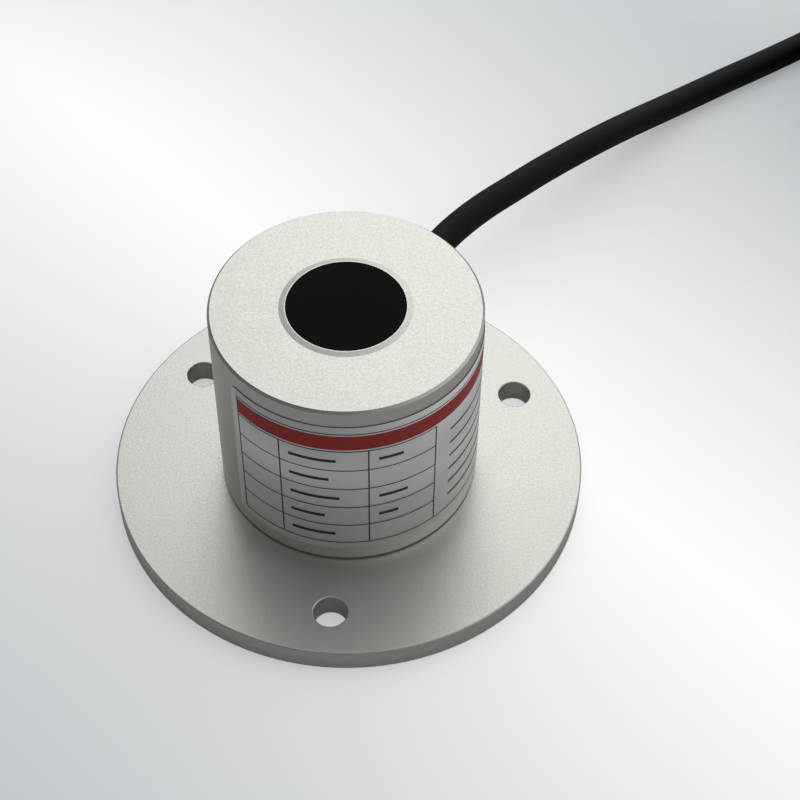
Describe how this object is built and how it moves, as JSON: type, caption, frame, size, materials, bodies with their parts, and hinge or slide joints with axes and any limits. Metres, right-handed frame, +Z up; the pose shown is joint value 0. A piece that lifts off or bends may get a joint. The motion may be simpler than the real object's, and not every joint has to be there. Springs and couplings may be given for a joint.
{
  "type": "uv radiation sensor",
  "caption": "Ultraviolet radiation sensor: cylindrical aluminium housing with a black filter glass on top, on a round screw-down flange, with a side cable gland and a coiled lead.",
  "frame": {"origin": "centre of the mounting flange's underside, on the housing's axis", "axes": "+Z up along the housing's axis, out through the filter glass; -Y towards the first fixing hole and the middle of the label; the cable gland leaves the back at 75 degrees from +X towards +Y"},
  "size_m": [0.2093, 0.1885, 0.0421],
  "materials": {
    "anodised_aluminium": "bead blasted and clear anodised",
    "filter_glass": "polished, visibly black",
    "window_glass": "polished",
    "seal_rubber": "moulded, matt",
    "gasket_rubber": "cut from grey sheet, matt",
    "diffuser_plastic": "machined, matt white",
    "stainless_steel": "plain, bright",
    "retainer_aluminium": "black anodised",
    "nickel_plate": "satin nickel plate",
    "gold_plate": "gold plated",
    "silicon_carbide": "polished chip",
    "spacer_plastic": "moulded, off-white",
    "board_laminate": "solder mask over glass fibre laminate",
    "package_epoxy": "moulded, matt",
    "tinned_metal": "bright tin",
    "capacitor_aluminium": "drawn can, bright",
    "ceramic": "fired, matt",
    "insulation_red": "extruded, smooth",
    "insulation_black": "extruded, smooth",
    "insulation_yellow": "extruded, smooth",
    "insulation_green": "extruded, smooth",
    "cable_jacket": "extruded, soft sheen",
    "label_foil": "printed metallised foil",
    "tie_nylon": "moulded",
    "shrink_sleeve": "shrunk tube, matt",
    "ferrule_collar": "moulded, white"
  },
  "bodies": {
    "root": {"mounting_flange": "anodised_aluminium", "base_gasket": "gasket_rubber", "housing_screws": "stainless_steel", "housing": "anodised_aluminium", "filter_glass": "filter_glass", "glass_seal": "seal_rubber", "diffuser": "diffuser_plastic", "diffuser_retainer": "retainer_aluminium", "photodiode_can": "nickel_plate", "photodiode_window": "window_glass", "photodiode_chip": "silicon_carbide", "photodiode_header": "gold_plate", "photodiode_pins": "gold_plate", "photodiode_spacer": "spacer_plastic", "circuit_board": "board_laminate", "board_pillars": "nickel_plate", "board_screws": "stainless_steel", "amplifier_chip": "package_epoxy", "transmitter_chip": "package_epoxy", "voltage_regulator": "package_epoxy", "chip_leads": "tinned_metal", "surge_diode": "package_epoxy", "capacitor_cans": "capacitor_aluminium", "capacitor_bases": "package_epoxy", "ceramic_capacitors": "ceramic", "resistors": "package_epoxy", "chip_terminals": "tinned_metal", "solder_joints": "tinned_metal", "wire_red": "insulation_red", "wire_black": "insulation_black", "wire_yellow": "insulation_yellow", "wire_green": "insulation_green", "cable_entry": "cable_jacket", "gland_washer": "seal_rubber", "gland_body": "nickel_plate", "gland_bush": "seal_rubber", "gland_cap": "nickel_plate", "label": "label_foil", "cable_lead": "cable_jacket", "cable_coil": "cable_jacket", "coil_ties": "tie_nylon", "cable_tail": "cable_jacket", "tail_sleeve": "shrink_sleeve", "tail_wire_red": "insulation_red", "tail_wire_black": "insulation_black", "tail_wire_yellow": "insulation_yellow", "tail_wire_green": "insulation_green", "ferrule_collars": "ferrule_collar", "ferrule_pins": "tinned_metal"}
  },
  "joints": []
}
